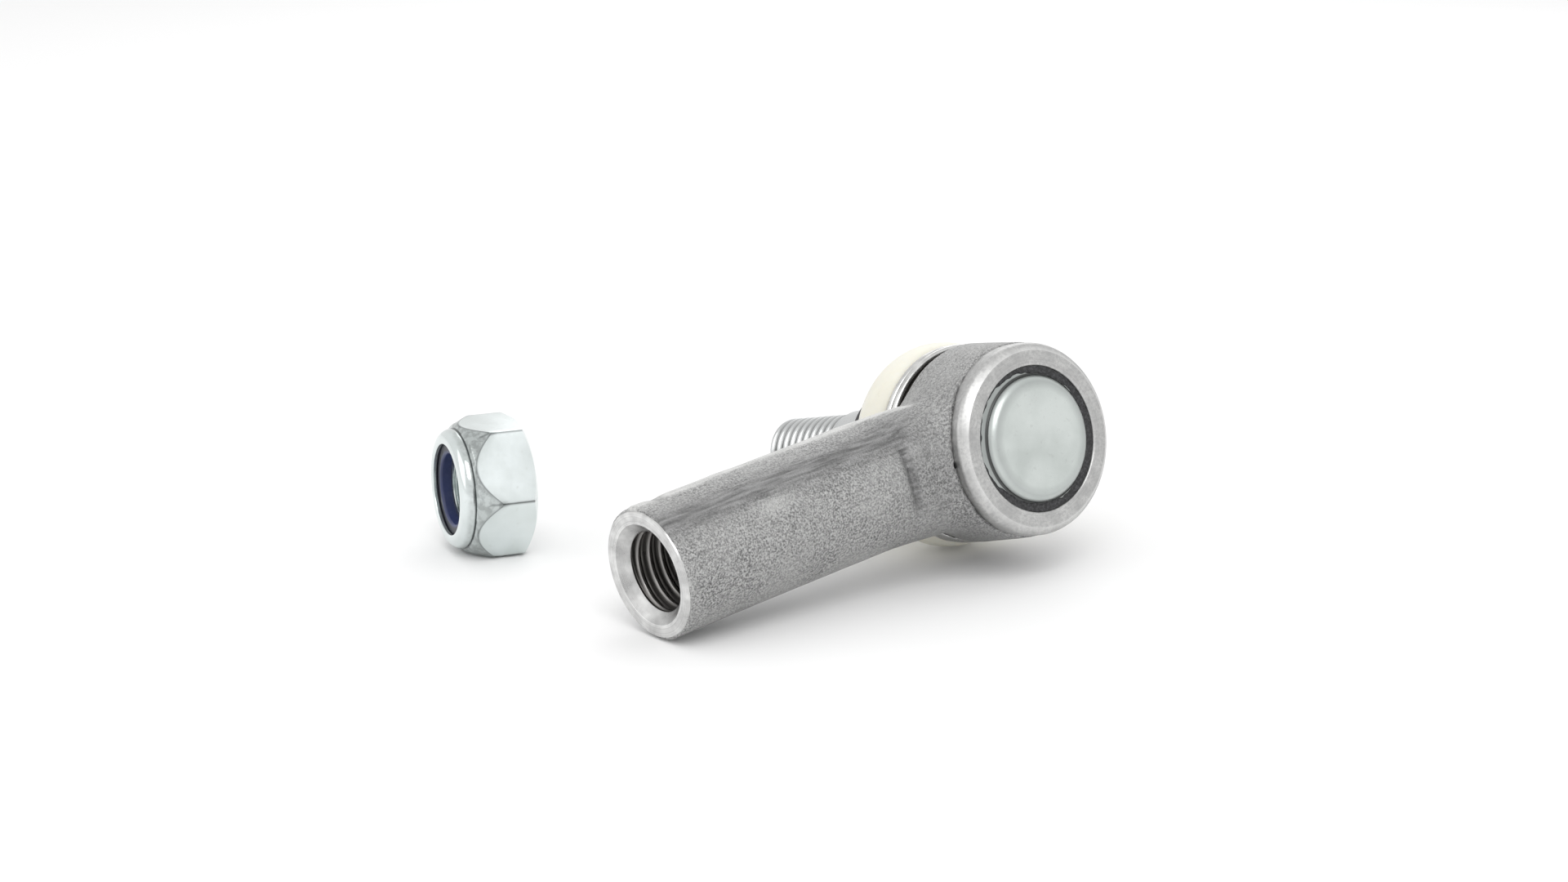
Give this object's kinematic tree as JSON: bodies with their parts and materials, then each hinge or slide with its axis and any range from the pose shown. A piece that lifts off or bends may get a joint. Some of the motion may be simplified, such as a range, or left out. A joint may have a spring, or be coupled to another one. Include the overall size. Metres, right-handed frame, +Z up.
{
  "type": "ball joint rod end",
  "caption": "Angled ball joint rod end: forged housing with a threaded socket shank, sealed ball stud with a dust boot, and a loose lock nut.",
  "frame": {"origin": "centre of the base of the bounding box, on the surface that the joint lies on", "axes": "+Z up from that surface; the socket shank runs towards -X and dips 7.5 degrees; the ball stud points to +Y and dips 14.8 degrees; the cap faces -Y"},
  "size_m": [0.0696, 0.067, 0.0299],
  "materials": {
    "forged_steel": "shot-blasted forging, fine matt grain, machined faces brighter",
    "stud_steel": "zinc plated, bright thread crests",
    "bearing_plastic": "natural acetal",
    "spring_steel": "oiled spring steel",
    "cap_zinc": "satin zinc plated pressing",
    "seal_black": "matt black sealing compound",
    "boot_rubber": "smooth ivory elastomer",
    "clamp_wire": "bright drawn spring wire",
    "neck_ring_black": "matt black",
    "nut_zinc": "bright blue-white zinc plate",
    "insert_blue": "dark blue nylon"
  },
  "bodies": {
    "housing": {"housing": "forged_steel", "bearing_shell_upper": "bearing_plastic", "bearing_cup_lower": "bearing_plastic", "disc_spring": "spring_steel", "end_cap": "cap_zinc", "cap_seal": "seal_black", "boot_clamp_ring": "clamp_wire"},
    "boot": {"dust_boot": "boot_rubber"},
    "boot_end": {"boot_neck_ring": "neck_ring_black"},
    "stud": {"ball_stud": "stud_steel"},
    "nut": {"lock_nut": "nut_zinc", "nut_insert": "insert_blue"}
  },
  "joints": [
    {"name": "stud_tilt_lengthwise", "type": "hinge", "parent": "housing", "child": "boot", "pos_m": [0.02096, -0.01964, 0.01531], "axis": [-0.1261, 0.2577, 0.958], "range_deg": [-15, 15], "deforming": ["dust_boot"]},
    {"name": "stud_tilt_sideways", "type": "hinge", "parent": "boot", "child": "boot_end", "pos_m": [0.02096, -0.01964, 0.01531], "axis": [-0.9914, 0, -0.1305], "range_deg": [-15, 15], "deforming": ["dust_boot"]},
    {"name": "stud_spin", "type": "hinge", "parent": "boot_end", "child": "stud", "pos_m": [0.02096, -0.01964, 0.01531], "axis": [0.0336, 0.9662, -0.2554], "continuous": true},
    {"name": "nut_lift", "type": "slide", "parent": "housing", "child": "nut", "axis": [0, 0, 1], "range_m": [0, 0.08]}
  ]
}
